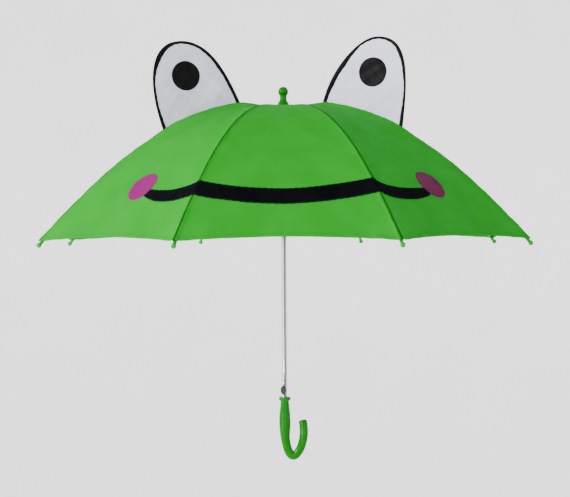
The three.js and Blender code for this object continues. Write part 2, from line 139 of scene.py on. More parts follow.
def relief(s, w, d, gore, rib):
    """The small ups and downs of the sewn cloth, in mm: d is the distance from the rib's seam."""
    bunch = SEAM["high"] + BUNCH["high"] * np.clip((s - BUNCH["from"]) / BUNCH["over"], 0, 1)
    near_tip = np.clip((s - BUNCH["wavy_from"]) / BUNCH["wavy_over"], 0, 1)
    bunch = bunch + BUNCH["wavy"] * np.sin(s / 11 + 2 * rib) * near_tip
    seam = bunch * np.exp(-(((d - SEAM["from"]) / SEAM["wide"]) ** 2))
    seam = seam - SEAM["dip"] * np.exp(-((d / SEAM["dip_wide"]) ** 2))
    fine, broad = PUCKER
    phase = 2 * PI * s / fine["period"] + 1.4 * np.sin(s / 21 + rib)
    pucker = fine["high"] * np.exp(-d / fine["reach"]) * np.sin(phase)
    phase = 2 * PI * s / broad["period"] + 0.7 * gore + d / 14
    pucker = pucker + broad["high"] * np.exp(-d / broad["reach"]) * np.sin(phase)
    edge = hem_distance(w) - s
    hem = HEM_FOLD["high"] * np.clip((HEM_FOLD["deep"] - edge) / HEM_FOLD["step"], 0, 1)
    ripple = RIPPLE["high"] * np.exp(-edge / RIPPLE["reach"]) * np.sin(d / RIPPLE["period"] + rib)
    period = PULL["period"] + PULL["spread"] * np.maximum(edge, 0)
    pull = PULL["high"] * np.exp(-edge / PULL["up"]) * np.exp(-d / PULL["across"])
    pull = pull * np.sin(d / period + 0.9 * rib)
    bay = np.sin(PI * np.clip(w, 0, 1)) ** 2
    wave = WAVE["high"] * bay * np.sin(2 * PI * s / WAVE["period"] + 1.9 * gore) * np.cos(2.2 * w + gore)
    return seam + hem + wave + own_share(w) * (eye_ridge(s, d, rib) + pucker + ripple + pull)


def cloth_point(s, w, lift, gore, rib, rough=1.0):
    """Points of the half gore that lies counter-clockwise of a rib, in the rib's frame."""
    s = np.asarray(s, float)
    w = np.asarray(w, float)
    x, z, angle = rib_curve(s, CLOTH_TOP)
    along = w * x * math.sin(HALF_GORE)
    sag = SAG * x * (1 - (1 - w) ** 2)
    inward = sag * np.sin(angle)
    rise = lift + rough * relief(s, w, along, gore, rib)
    turn = HALF_GORE * np.clip(w, 0, 1)
    px = x - along * math.sin(HALF_GORE) - inward * math.cos(HALF_GORE)
    py = along * math.cos(HALF_GORE) - inward * math.sin(HALF_GORE)
    pz = z - sag * np.cos(angle)
    px = px + rise * np.sin(angle) * np.cos(turn)
    py = py + rise * np.sin(angle) * np.sin(turn)
    pz = pz + rise * np.cos(angle)
    return np.stack([px, py, pz], axis=-1)


def rib_turn(rib):
    return FIRST_RIB + (rib - 1) * 2 * HALF_GORE


def to_row(points, rib, side=1):
    """From a rib's frame to the row frame; side -1 mirrors the points in the rib's plane first."""
    points = np.asarray(points, float)
    c, n = math.cos(rib_turn(rib)), math.sin(rib_turn(rib))
    x, y, z = points[..., 0], side * points[..., 1], points[..., 2]
    return np.stack([x * c - y * n, x * n + y * c, z], axis=-1)


# ------------------------------------ meshes


def faced_out(points, faces):
    """The faces of a closed body, turned round if they face inward."""
    volume = 0.0
    for face in faces:
        a = points[face[0]]
        for b, c in zip(face[1:], face[2:]):
            volume += np.dot(a, np.cross(points[b], points[c]))
    return [face[::-1] for face in faces] if volume < 0 else faces


def make_object(name, points, faces, material, uvs=()):
    """A mesh object from points in millimetres; uvs are (layer name, one pair per point), also in mm."""
    mesh = bpy.data.meshes.new(name)
    mesh.from_pydata([tuple(p) for p in np.asarray(points, float).reshape(-1, 3) * MM], [], faces)
    corner = np.empty(len(mesh.loops), np.int32)
    mesh.loops.foreach_get("vertex_index", corner)
    for layer, values in uvs:
        flat = np.asarray(values, float).reshape(-1, 2) * MM
        data = mesh.uv_layers.new(name=layer)
        data.data.foreach_set("uv", flat[corner].astype(np.float32).ravel())
    mesh.polygons.foreach_set("use_smooth", [True] * len(mesh.polygons))
    mesh.materials.append(material)
    mesh.validate()
    mesh.update()
    obj = bpy.data.objects.new(name, mesh)
    bpy.context.scene.collection.objects.link(obj)
    return obj


def grid_faces(rows, columns, flip=False, around=False, offset=0):
    faces = []
    for i in range(rows - 1):
        for j in range(columns if around else columns - 1):
            k = (j + 1) % columns
            quad = [i * columns + j, (i + 1) * columns + j, (i + 1) * columns + k, i * columns + k]
            quad = [offset + q for q in quad]
            faces.append(quad[::-1] if flip else quad)
    return faces


def rim_faces(rows, columns):
    """The faces that close the rim between two grids, of which the second follows the first."""
    count = rows * columns
    rim = list(range(columns)) + [i * columns + columns - 1 for i in range(1, rows)]
    rim += [(rows - 1) * columns + j for j in range(columns - 2, -1, -1)]
    rim += [i * columns for i in range(rows - 2, 0, -1)]
    return [[a, b, count + b, count + a] for a, b in zip(rim, rim[1:] + rim[:1])]


def lathe(name, profile, material, sides=48, place=None):
    """A solid of revolution about z. The profile is (radius, z) pairs, closed where a radius is 0."""
    rings = [p for p in profile if p[0] > 1e-6]
    turn = np.linspace(0, 2 * PI, sides, endpoint=False)
    points = [[r * math.cos(a), r * math.sin(a), z] for r, z in rings for a in turn]
    faces = grid_faces(len(rings), sides, flip=True, around=True)
    if profile[0][0] <= 1e-6:
        points.append([0, 0, profile[0][1]])
        faces += [[len(points) - 1, (j + 1) % sides, j] for j in range(sides)]
    if profile[-1][0] <= 1e-6:
        points.append([0, 0, profile[-1][1]])
        last = (len(rings) - 1) * sides
        faces += [[len(points) - 1, last + j, last + (j + 1) % sides] for j in range(sides)]
    points = np.array(points, float)
    if place is not None:
        points = place(points)
    return make_object(name, points, faced_out(points, faces), material)


def sweep(name, centres, normals, sides_dir, section, material, closed_ends=True):
    """A bar along centres: each ring lies in the plane of its normal and side, as (n, b) pairs."""
    count = len(section[0])
    points = []
    for c, n, b, ring in zip(centres, normals, sides_dir, section):
        points += [c + n * u + b * v for u, v in ring]
    rows = len(centres)
    faces = grid_faces(rows, count, around=True)
    if closed_ends:
        faces.append(list(range(count)))
        faces.append([(rows - 1) * count + j for j in range(count)][::-1])
    points = np.array(points)
    return make_object(name, points, faced_out(points, faces), material)


def circle(radius, sides):
    turns = [2 * PI * j / sides for j in range(sides)]
    return [(radius * math.cos(a), radius * math.sin(a)) for a in turns]


def bezier(p0, p1, p2, p3, count):
    t = np.linspace(0, 1, count)[:, None]
    p0, p1, p2, p3 = (np.array(p, float) for p in (p0, p1, p2, p3))
    return (1 - t) ** 3 * p0 + 3 * (1 - t) ** 2 * t * p1 + 3 * (1 - t) * t**2 * p2 + t**3 * p3


def respace(points, count):
    """The same line with its points at equal distances."""
    step = np.linalg.norm(np.diff(points, axis=0), axis=1)
    run = np.concatenate([[0], np.cumsum(step)])
    at = np.linspace(0, run[-1], count)
    return np.stack([np.interp(at, run, points[:, i]) for i in range(points.shape[1])], axis=1)


def tangents(points):
    t = np.gradient(points, axis=0)
    return t / np.linalg.norm(t, axis=1)[:, None]


# ------------------------------------ materials


class Look:
    """A Principled material with helpers that add nodes."""

    def __init__(self, name, colour, roughness=0.5, metallic=0.0, **sockets):
        self.material = bpy.data.materials.new(name)
        self.material.use_nodes = True
        self.tree = self.material.node_tree
        self.shader = self.tree.nodes["Principled BSDF"]
        self.shader.inputs["Base Color"].default_value = (*colour, 1)
        self.shader.inputs["Roughness"].default_value = roughness
        self.shader.inputs["Metallic"].default_value = metallic
        for socket, value in sockets.items():
            self.shader.inputs[socket.replace("_", " ")].default_value = value
        self.heights = []

    def node(self, kind, **settings):
        made = self.tree.nodes.new(kind)
        for key, value in settings.items():
            setattr(made, key, value)
        return made

    def put(self, socket, value):
        if hasattr(value, "is_output"):
            self.tree.links.new(value, socket)
        else:
            socket.default_value = value

    def math(self, operation, a, b=0.0, c=0.0):
        made = self.node("ShaderNodeMath", operation=operation)
        for socket, value in zip(made.inputs, (a, b, c)):
            self.put(socket, value)
        return made.outputs[0]

    def uv(self, layer):
        split = self.node("ShaderNodeSeparateXYZ")
        self.put(split.inputs[0], self.node("ShaderNodeUVMap", uv_map=layer).outputs[0])
        return split.outputs[0], split.outputs[1]

    def place(self, layer=None):
        if layer:
            return self.node("ShaderNodeUVMap", uv_map=layer).outputs[0]
        return self.node("ShaderNodeTexCoord").outputs["Object"]

    def noise(self, scale, detail=3.0, layer=None, stretch=None, roughness=0.55):
        made = self.node("ShaderNodeTexNoise")
        where = self.place(layer)
        if stretch:
            mapping = self.node("ShaderNodeMapping")
            self.put(mapping.inputs["Vector"], where)
            mapping.inputs["Scale"].default_value = stretch
            where = mapping.outputs[0]
        self.put(made.inputs["Vector"], where)
        made.inputs["Scale"].default_value = scale
        made.inputs["Detail"].default_value = detail
        made.inputs["Roughness"].default_value = roughness
        return made.outputs["Fac"]

    def wave(self, period, direction, layer):
        """Bands with a period in metres."""
        made = self.node("ShaderNodeTexWave", wave_type="BANDS", bands_direction=direction)
        self.put(made.inputs["Vector"], self.place(layer))
        made.inputs["Scale"].default_value = 2 * PI / 20 / period
        return made.outputs["Fac"]

    def ranged(self, value, low, high, to_low=0.0, to_high=1.0):
        made = self.node("ShaderNodeMapRange", interpolation_type="SMOOTHSTEP")
        for socket, number in zip(made.inputs, (value, low, high, to_low, to_high)):
            self.put(socket, number)
        return made.outputs[0]

    def mix(self, factor, a, b):
        made = self.node("ShaderNodeMix", data_type="RGBA")
        self.put(made.inputs[0], factor)
        for socket, value in zip((made.inputs[6], made.inputs[7]), (a, b)):
            self.put(socket, (*value, 1) if isinstance(value, tuple) else value)
        return made.outputs[2]

    def colour(self, value):
        self.put(self.shader.inputs["Base Color"], value)

    def rough(self, value):
        self.put(self.shader.inputs["Roughness"], value)

    def height(self, value, metres):
        self.heights.append(self.math("MULTIPLY", value, metres))

    def finish(self):
        if self.heights:
            total = self.heights[0]
            for extra in self.heights[1:]:
                total = self.math("ADD", total, extra)
            bump = self.node("ShaderNodeBump")
            bump.inputs["Strength"].default_value = 1.0
            bump.inputs["Distance"].default_value = 1.0
            self.put(bump.inputs["Height"], total)
            self.tree.links.new(bump.outputs[0], self.shader.inputs["Normal"])
        return self.material

    def line(self, value, centre, half):
        """1 on a line where value is near centre, 0 away from it."""
        away = self.math("ABSOLUTE", self.math("SUBTRACT", value, centre))
        return self.ranged(away, half * 0.6, half, 1.0, 0.0)

    def dashes(self, value, pitch, duty):
        """1 on the stitches of a line and 0 between them."""
        share = self.math("FRACT", self.math("DIVIDE", value, pitch))
        away = self.math("ABSOLUTE", self.math("SUBTRACT", share, 0.5))
        return self.ranged(away, duty / 2, duty / 2 + 0.1, 1.0, 0.0)


STITCH = {"half": 0.0004, "pitch": 0.0031, "duty": 0.62, "cover": 0.75, "high": 0.00022}
# Painted shade beside each seam: darkest within full metres of it, gone by gone, towards the thread
# colour times dark.
SEAM_SHADE = {"full": 0.0009, "gone": 0.0024, "most": 0.95, "dark": 0.6}
YARN = 0.0009


def cloth_look(
    name, dark, light, roughness, thread, seams=(), hems=(),
    sheen=0.02, weave=0.000014, tint=None, shine=0.05,
):
    """Plain-woven polyester. seams and hems are distances in metres of stitch lines from the edges."""
    look = Look(
        name, light, roughness, Specular_IOR_Level=shine, Sheen_Weight=sheen, Sheen_Roughness=0.45,
        Sheen_Tint=(*(tint or light), 1),
    )
    mottle = look.ranged(look.noise(18, 4, "cloth"), 0.3, 0.7)
    slub = look.ranged(look.noise(420, 2, "cloth", stretch=(1, 0.06, 1)), 0.35, 0.65)
    base = look.mix(look.math("MULTIPLY", mottle, 0.7), dark, light)
    base = look.mix(look.math("MULTIPLY", slub, 0.18), base, dark)
    warp, weft = look.wave(YARN, "X", "cloth"), look.wave(YARN, "Y", "cloth")
    woven = look.math("MULTIPLY", warp, weft)
    look.height(woven, weave)
    look.height(look.noise(160, 3, "cloth"), weave * 1.6)
    look.rough(look.ranged(look.noise(60, 3, "cloth"), 0.3, 0.7, roughness - 0.06, roughness + 0.07))
    stitches = []
    across, run = look.uv("cloth")
    # Painted shade: the cloth colour darkens towards each seam.
    if seams:
        shade = look.ranged(across, SEAM_SHADE["full"], SEAM_SHADE["gone"], SEAM_SHADE["most"], 0.0)
        base = look.mix(shade, base, tuple(SEAM_SHADE["dark"] * c for c in thread))
    for d in seams:
        dashes = look.dashes(run, STITCH["pitch"], STITCH["duty"])
        stitches.append(look.math("MULTIPLY", look.line(across, d, STITCH["half"]), dashes))
    if hems:
        a, e = look.uv("hem")
        for d in hems:
            dashes = look.dashes(a, STITCH["pitch"], STITCH["duty"])
            stitches.append(look.math("MULTIPLY", look.line(e, d, STITCH["half"]), dashes))
    for mask in stitches:
        base = look.mix(look.math("MULTIPLY", mask, STITCH["cover"]), base, thread)
        look.height(mask, STITCH["high"])
    look.colour(base)
    return look.finish()


def plastic_look(name, dark, light, roughness, coat=0.0, orange=0.00002, scale=55, shine=0.5):
    """Moulded plastic, with orange as the height of its orange peel in metres."""
    look = Look(name, light, roughness, Specular_IOR_Level=shine, Coat_Weight=coat, Coat_Roughness=0.06)
    look.colour(look.mix(look.ranged(look.noise(scale, 3), 0.3, 0.7), dark, light))
    look.rough(look.ranged(look.noise(scale * 4, 4), 0.35, 0.75, roughness * 0.75, roughness * 1.4))
    look.height(look.noise(scale * 9, 2), orange)
    return look.finish()


# Painted reflections on the plated tube. Each band: its tone, and the turns in radians over which it
# comes and goes, three times round the tube.
TUBE_PAINTED_REFLECTIONS = (
    ((0.30, 0.31, 0.33), (0.3, 0.4), (1.1, 1.35)),
    ((0.045, 0.047, 0.052), (0.08, 0.16), (0.46, 0.6)),
)


def metal_look(
    name, dark, light, roughness, along=(1, 1, 0.04), scale=600, scratch=0.000004, painted_reflections=False
):
    """Metal with fine drawing streaks; painted_reflections paints the long light and dark streaks of
    reflections on a plated tube.
    """
    look = Look(name, light, roughness, 1.0)
    streak = look.noise(scale, 3, stretch=along)
    colour = look.mix(look.ranged(streak, 0.3, 0.7), dark, light)
    # Painted reflections: darker streaks at fixed turns round the tube stand for reflections on plated
    # metal.
    if painted_reflections:
        split = look.node("ShaderNodeSeparateXYZ")
        look.put(split.inputs[0], look.place())
        turn = look.math("ARCTAN2", split.outputs[1], split.outputs[0])
        wander = look.math("MULTIPLY", look.noise(30, 2, stretch=(0.02, 0.02, 1)), 0.25)
        turn = look.math("ADD", look.math("ADD", turn, wander), 4 * PI + 1.66)
        turn = look.math("MODULO", turn, 2 * PI / 3)
        for tone, (on, full), (fading, off) in TUBE_PAINTED_REFLECTIONS:
            rise = look.ranged(turn, on, full)
            band = look.math("MULTIPLY", rise, look.ranged(turn, fading, off, 1.0, 0.0))
            colour = look.mix(band, colour, tone)
    look.colour(colour)
    wear = look.ranged(look.noise(scale / 8, 5), 0.55, 0.8, 0.0, 0.08)
    drawn = look.ranged(streak, 0.3, 0.8, roughness * 0.8, roughness * 1.25)
    look.rough(look.math("ADD", drawn, wear))
    look.height(streak, scratch)
    return look.finish()


GREEN_DARK = (0.006, 0.20, 0.009)
GREEN_LIGHT = (0.009, 0.242, 0.013)
GREEN_THREAD = (0.006, 0.12, 0.004)
BLACK_THREAD = (0.015, 0.015, 0.018)
GREEN_TINT = (0.3, 0.9, 0.3)
BLACK_TINT = (0.6, 0.6, 0.7)
PINK_TINT = (0.9, 0.4, 0.8)

GREEN_CLOTH = {
    "dark": GREEN_DARK, "light": GREEN_LIGHT, "roughness": 0.7, "thread": GREEN_THREAD,
    "sheen": 0.015, "tint": GREEN_TINT, "shine": 0.03,
}
green_cloth = cloth_look("green_cloth", seams=(0.0031,), hems=(0.0062,), **GREEN_CLOTH)
patch_cloth = cloth_look("patch_cloth", **GREEN_CLOTH)
strap_cloth = cloth_look("strap_cloth", hems=(0.0018,), **GREEN_CLOTH)
black_cloth = cloth_look(
    "black_cloth", (0.0017, 0.0018, 0.0025), (0.0036, 0.0038, 0.0052), 0.8, BLACK_THREAD,
    hems=(0.0014,), sheen=0.0, tint=BLACK_TINT, shine=0.01,
)
cheek_left_cloth = cloth_look(
    "cheek_left_cloth", (0.138, 0.0035, 0.079), (0.17, 0.005, 0.104), 0.5, (0.12, 0.006, 0.06),
    hems=(0.0014,), sheen=0.0, tint=PINK_TINT, shine=0.04,
)
# The right cheek: the same pink cloth darkened, as painted shade.
cheek_right_cloth = cloth_look(
    "cheek_right_cloth", (0.075, 0.0022, 0.032), (0.095, 0.0032, 0.045), 0.5, (0.06, 0.003, 0.03),
    hems=(0.0014,), sheen=0.0, tint=PINK_TINT, shine=0.04,
)
white_cloth = cloth_look(
    "white_cloth", (0.54, 0.54, 0.65), (0.64, 0.64, 0.75), 0.6, (0.4, 0.4, 0.46), sheen=0.1,
    weave=0.000012, tint=(0.9, 0.9, 1.0),
)
pupil_cloth = cloth_look(
    "pupil_cloth", (0.002, 0.002, 0.0025), (0.004, 0.004, 0.0045), 0.5, BLACK_THREAD,
    hems=(0.0013,), sheen=0.0, tint=BLACK_TINT, shine=0.06,
)
binding_tape = cloth_look(
    "binding_tape", (0.002, 0.002, 0.0025), (0.005, 0.005, 0.006), 0.6, BLACK_THREAD, sheen=0.03,
    weave=0.00004, tint=BLACK_TINT, shine=0.05,
)
gloss_green = plastic_look(
    "gloss_green", (0.0001, 0.105, 0.0001), (0.0002, 0.13, 0.0001), 0.13, coat=0.05,
    orange=0.000006, shine=0.1,
)
tip_green = plastic_look(
    "tip_green", (0.004, 0.22, 0.012), (0.006, 0.27, 0.018), 0.28, coat=0.03, shine=0.1,
)
green_stud = plastic_look("green_stud", (0.008, 0.18, 0.006), (0.012, 0.22, 0.009), 0.3, shine=0.3)
white_nylon = plastic_look("white_nylon", (0.70, 0.70, 0.68), (0.80, 0.80, 0.78), 0.42, orange=0.00004)
black_plastic = plastic_look(
    "black_plastic", (0.001, 0.001, 0.0015), (0.003, 0.003, 0.0035), 0.25, orange=0.00003,
    shine=0.12,
)
# The plated shaft tube, with painted reflections as darker streaks round it.
chrome = metal_look(
    "chrome_tube", (0.62, 0.63, 0.65), (0.74, 0.75, 0.77), 0.16, scale=900, scratch=0.000002,
    painted_reflections=True,
)
rib_steel = metal_look(
    "rib_steel", (0.50, 0.51, 0.53), (0.62, 0.63, 0.65), 0.32, along=(0.3, 0.3, 0.3), scale=500,
)
spring_steel = metal_look("spring_steel", (0.42, 0.43, 0.45), (0.52, 0.53, 0.55), 0.28, scale=700)
green_thread = cloth_look(
    "green_thread", (0.008, 0.14, 0.006), (0.012, 0.19, 0.01), 0.7, (0.008, 0.14, 0.006),
)

# ------------------------------------ canopy


def half_gores():
    """Every half gore: its name, its gore, its rib and which side of the rib it lies on."""
    for rib in range(1, RIBS + 1):
        yield f"gore_{rib}_left", rib, rib, 1
        before = RIBS if rib == 1 else rib - 1
        yield f"gore_{before}_right", before, rib, -1


def follow(obj):
    """Bakes the cloth's placement into its points."""
    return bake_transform(obj)


def cloth_patch(name, s, w, lift, gore, rib, side, material, hem_uv=None):
    """A grid of cloth points: s and w are arrays of the same shape."""
    along = w * half_chord(s)
    points = to_row(cloth_point(s, w, lift, gore, rib), rib, side)
    uvs = [("cloth", np.stack([along, s], axis=-1))]
    if hem_uv is None:
        hem_uv = np.stack([along, hem_distance(w) - s], axis=-1)
    uvs.append(("hem", hem_uv))
    rows, columns = s.shape
    return make_object(name, points, grid_faces(rows, columns, flip=side > 0), material, uvs)


GORE_ROWS, GORE_COLUMNS = 116, 34
CLOTH_START = 1.4  # the cloth's upper edge, measured down the rib from its hinge


def gore_cloth(node, gore, rib, side):
    # The columns crowd towards the seam, and the rows towards both ends.
    w = np.linspace(0, 1, GORE_COLUMNS) ** 1.7
    rows = np.linspace(0, 1, GORE_ROWS)
    rows = rows + 0.028 * np.sin(2 * PI * rows) / (2 * PI)
    w, rows = np.meshgrid(w, rows)
    s = CLOTH_START + rows * (hem_distance(w) - CLOTH_START)
    obj = cloth_patch(f"cloth_{node}", s, w, 0.0, gore, rib, side, green_cloth)
    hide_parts(node)
    follow(obj)
    return obj


# The mouth is one band over three gores, by half gore, its rib and its side. Each entry has places from
# the rib (0) to the gore's middle (1), and there how far down the cloth the band is and its half width.
MOUTH = {
    ("gore_1_left", 1, 1): (
        [0, 0.17, 0.37, 0.57, 0.8, 1],
        [353.4, 357.8, 361.6, 365.3, 366.6, 366.9],
        [15.0, 15.0, 14.7, 15.2, 15.4, 15.4],
    ),
    ("gore_1_right", 2, -1): (
        [0, 0.19, 0.36, 0.59, 0.8, 1],
        [349.0, 353.6, 357.8, 362.6, 365.5, 366.9],
        [14.8, 15.2, 15.6, 15.5, 15.4, 15.4],
    ),
    ("gore_8_right", 1, -1): (
        [0, 0.14, 0.3, 0.45, 0.62, 0.77, 0.88],
        [354.6, 359.6, 363.8, 365.6, 363.8, 359.2, 355],
        [14.6, 13.4, 12.7, 11.8, 11.2, 9.2, 7],
    ),
    ("gore_2_left", 2, 1): (
        [0, 0.06, 0.2, 0.41, 0.62, 0.8, 0.92],
        [350.2, 354.6, 360.2, 362.4, 361.4, 358, 355],
        [14.4, 13.7, 12.7, 11.9, 11.3, 9.8, 7.5],
    ),
}


def smooth_curve(at, places, values):
    """A smooth line near the given places: a fine interpolation with its corners rounded off."""
    fine = np.linspace(places[0], places[-1], 241)
    line = np.interp(fine, places, values)
    reach = 14
    before = 2 * line[0] - line[reach:0:-1]
    after = 2 * line[-1] - line[-2 : -reach - 2 : -1]
    padded = np.concatenate([before, line, after])
    kernel = np.hanning(2 * reach + 1)
    return np.interp(at, fine, np.convolve(padded, kernel / kernel.sum(), "valid"))


def mouth_piece(node, rib, side, table):
    places, middles, halves = table
    gore = int(node.split("_")[1])
    w = np.linspace(0, places[-1], 84)
    middle = smooth_curve(w, places, middles)
    width = smooth_curve(w, places, halves)
    along = w * half_chord(middle)
    across = np.linspace(-1, 1, 17)
    w2, across2 = np.meshgrid(w, across)
    middle2, width2, along2 = middle[None, :], width[None, :], along[None, :]
    gather = 0.3 * np.sin(2 * PI * along2 / 9.5 + rib + across2)
    gather = gather + 0.12 * np.sin(2 * PI * along2 / 4.3 + 2 * rib)
    s = middle2 + across2 * (width2 + gather * np.abs(across2))
    edge = width2 * (1 - np.abs(across2))
    pucker = 0.3 * np.exp(-edge / 4.5) * np.sin(2 * PI * along2 / 5.2 + 2 * np.sign(across2))
    slant = along2 + 0.5 * across2 * width2
    pucker = pucker + 0.3 * np.exp(-along2 / 16) * np.sin(2 * PI * slant / 6.5)
    low = np.interp(w2, [0, 0.7, 0.78, 1], [1, 1, 0.35, 0.3]) if places[-1] < 1 else np.ones_like(w2)
    lift = 0.12 + low * (0.45 + pucker) * np.clip(edge / 1.2, 0, 1)
    obj = cloth_patch(
        f"mouth_{node}", s, w2, lift, gore, rib, side, black_cloth,
        np.stack([along2 * np.ones_like(s), edge], axis=-1),
    )
    return follow(obj)


# Each cheek is a round across the middle of its gore, over the end of the mouth: its halves, with the
# shift of its middle towards the half's rib, how far down the cloth it lies, and its cloth. The right
# cheek's cloth is the same pink darkened: painted shade.
CHEEK = {"half_width": 24.6, "half_height": 28.3}
CHEEKS = (
    ("gore_8_right", 1, -1, -1.8, 342.0, cheek_left_cloth),
    ("gore_8_left", 8, 1, 1.8, 342.0, cheek_left_cloth),
    ("gore_2_left", 2, 1, -8.1, 339.8, cheek_right_cloth),
    ("gore_2_right", 3, -1, 8.1, 339.8, cheek_right_cloth),
)


def cheek_piece(node, rib, side, shift, down, material):
    gore = int(node.split("_")[1])
    reach = CHEEK["half_width"] + shift
    bend = np.linspace(0, 1, 22)
    q = reach * np.sin(bend * PI / 2)
    across = np.linspace(-1, 1, 33)
    q2, t2 = np.meshgrid(q, across)
    share = np.sqrt(np.clip(1 - ((q2 - shift) / CHEEK["half_width"]) ** 2, 0.0004, 1))
    s = down + t2 * share * CHEEK["half_height"]
    w = 1 - q2 / half_chord(s)
    radius = np.sqrt(((q2 - shift) / CHEEK["half_width"]) ** 2 + (t2 * share) ** 2)
    edge = np.clip(1 - radius, 0, 1) * CHEEK["half_height"]
    angle = np.arctan2(t2 * share, (q2 - shift) / CHEEK["half_width"])
    lift = 0.15 + 0.5 * np.clip(edge / 1.0, 0, 1) + 0.12 * np.exp(-edge / 3) * np.sin(13 * angle)
    rim = np.stack([angle * 26, edge], axis=-1)
    obj = cloth_patch(f"cheek_{node}", s, w, lift, gore, rib, side, material, rim)
    return follow(obj)


extras = {}
for (node, rib, side), table in MOUTH.items():
    extras.setdefault(node, []).append(mouth_piece(node, rib, side, table))
for node, rib, side, shift, down, material in CHEEKS:
    extras.setdefault(node, []).append(cheek_piece(node, rib, side, shift, down, material))


for node, gore, rib, side in half_gores():
    piece = gore_cloth(node, gore, rib, side)

# ------------------------------------ crown patch, ties, closing strap


def crown_patch():
    """A round of cloth under the ferrule's skirt, laid over the ends of the gores."""
    radii = np.array([7.0, 9.0, 11.0, 13.5, 16.0, 17.6, 18.3, 18.3])
    drop = np.array([0, 0, 0, 0, 0, 0.03, 0.1, 0.55])
    turn = np.linspace(0, 2 * PI, 96, endpoint=False)
    points, uv = [], []
    for r, fall in zip(radii, drop):
        for a in turn:
            ridge = 0.5 + 0.5 * math.cos(RIBS * (a - FIRST_RIB))
            x, z, _ = rib_curve(max(r - HINGE_R, 0.0), CLOTH_TOP + 0.75)
            base = min(float(z), CROWN_Z + 5.6) - 0.014 * r * (1 - ridge)
            points.append([r * math.cos(a), r * math.sin(a), base - fall + 0.12 * ridge * math.sin(r)])
            uv.append([r * math.cos(a), r * math.sin(a)])
    faces = grid_faces(len(radii), len(turn), around=True)
    obj = make_object("crown_patch_cloth", points, faces, patch_cloth, [("cloth", uv), ("hem", uv)])
    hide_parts("crown_patch")
    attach(obj, "frame")


TIES = {"at": (118.0, 296.0, 392.0), "turns": 4, "step": 0.62, "sides": 6, "radii": (0.28, 0.3)}


def rib_ties(rib):
    """Thread that ties the seam to the rib at three places."""
    points, faces = [], []
    sides = TIES["sides"]
    across, along = TIES["radii"]
    for s in TIES["at"]:
        for turn in range(TIES["turns"]):
            at = s + turn * TIES["step"]
            x, z, angle = rib_curve(at)
            tangent = np.array([math.cos(angle), 0, -math.sin(angle)])
            up = np.array([math.sin(angle), 0, math.cos(angle)])
            out = np.array([0, 1.0, 0])
            loop = [(-2.0, -1.9), (2.0, -1.9), (2.1, 0.8), (1.2, 3.3), (-1.2, 3.3), (-2.1, 0.8)]
            base = len(points)
            for v, u in loop:
                centre = np.array([float(x), 0, float(z)]) + up * u + out * v
                away = out * v + up * (u - 0.6)
                away = away / np.linalg.norm(away)
                for a in np.linspace(0, 2 * PI, sides, endpoint=False):
                    points.append(centre + away * across * math.cos(a) + tangent * along * math.sin(a))
            rows = len(loop)
            for i in range(rows):
                here, beyond = base + i * sides, base + ((i + 1) % rows) * sides
                for j in range(sides):
                    k = (j + 1) % sides
                    faces.append([here + j, here + k, beyond + k, beyond + j])
    uv = np.array([[p[1], p[0]] for p in points])
    placed = to_row(points, rib)
    obj = make_object(f"ties_{rib}", placed, faces, green_thread, [("cloth", uv), ("hem", uv)])
    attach(obj, f"rib_{rib}")


STRAP = {"rib": 6, "from": 262.0, "to": 402.0, "half": 8.8, "lift": 0.9, "thick": 0.5}
STRAP_END = (0.93, 0.08)  # where its end starts to round, and over how much, as shares of its length
STUD_FROM_END = 13
STUD_PROFILE = ((5.2, -0.2), (5.4, 0.3), (4.9, 0.75), (3.6, 0.9), (2.4, 0.95), (2.1, 0.6), (0, 0.55))


def closing_strap():
    """A doubled strip of the same cloth, sewn on at its upper end, with a snap stud near its end."""
    rows, columns = 60, 15
    s = np.linspace(STRAP["from"], STRAP["to"], rows)
    t = np.linspace(-1, 1, columns)
    s2, t2 = np.meshgrid(s, t, indexing="ij")
    share = (s2 - STRAP["from"]) / (STRAP["to"] - STRAP["from"])
    past = (share - STRAP_END[0]) / STRAP_END[1]
    half = STRAP["half"] * np.where(past > 0, np.sqrt(np.clip(1 - past**2, 0.02, 1)), 1)
    y = t2 * half
    x, z, angle = rib_curve(s2, CLOTH_TOP)
    fall = np.sqrt(y**2 + 6) - math.sqrt(6)
    lift = STRAP["lift"] + 0.25 * np.sin(2 * PI * share * 2.3) + 0.1 * np.sin(y) - 0.36 * fall * 0.9
    top = np.stack([x + lift * np.sin(angle), y, z + lift * np.cos(angle)], axis=-1)
    low = lift - STRAP["thick"]
    bottom = np.stack([x + low * np.sin(angle), y, z + low * np.cos(angle)], axis=-1)
    faces = grid_faces(rows, columns)
    count = rows * columns
    faces += grid_faces(rows, columns, flip=True, offset=count)
    faces += rim_faces(rows, columns)
    points = np.concatenate([top.reshape(-1, 3), bottom.reshape(-1, 3)])
    uv = np.stack([y, s2], axis=-1).reshape(-1, 2)
    hem = np.stack([s2, half - np.abs(y)], axis=-1).reshape(-1, 2)
    obj = make_object(
        "strap_cloth", to_row(points, STRAP["rib"]), faces, strap_cloth,
        [("cloth", np.concatenate([uv, uv])), ("hem", np.concatenate([hem, hem]))],
    )
    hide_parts("closing_strap")
    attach(obj, f"rib_{STRAP['rib']}")
    x, z, angle = rib_curve(STRAP["to"] - STUD_FROM_END, CLOTH_TOP + STRAP["lift"] + 0.05)
    middle = np.array([float(x), 0, float(z)])
    out = np.array([math.sin(angle), 0, math.cos(angle)])
    side = np.array([0, 1.0, 0])
    along = np.cross(side, out)

    def place(p):
        return to_row(middle + p[:, :1] * along + p[:, 1:2] * side + p[:, 2:] * out, STRAP["rib"])

    stud = lathe("strap_stud", STUD_PROFILE, green_stud, 32, place)
    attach(stud, f"rib_{STRAP['rib']}")


crown_patch()
closing_strap()
for rib in range(1, RIBS + 1):
    rib_ties(rib)

# ------------------------------------ eyes

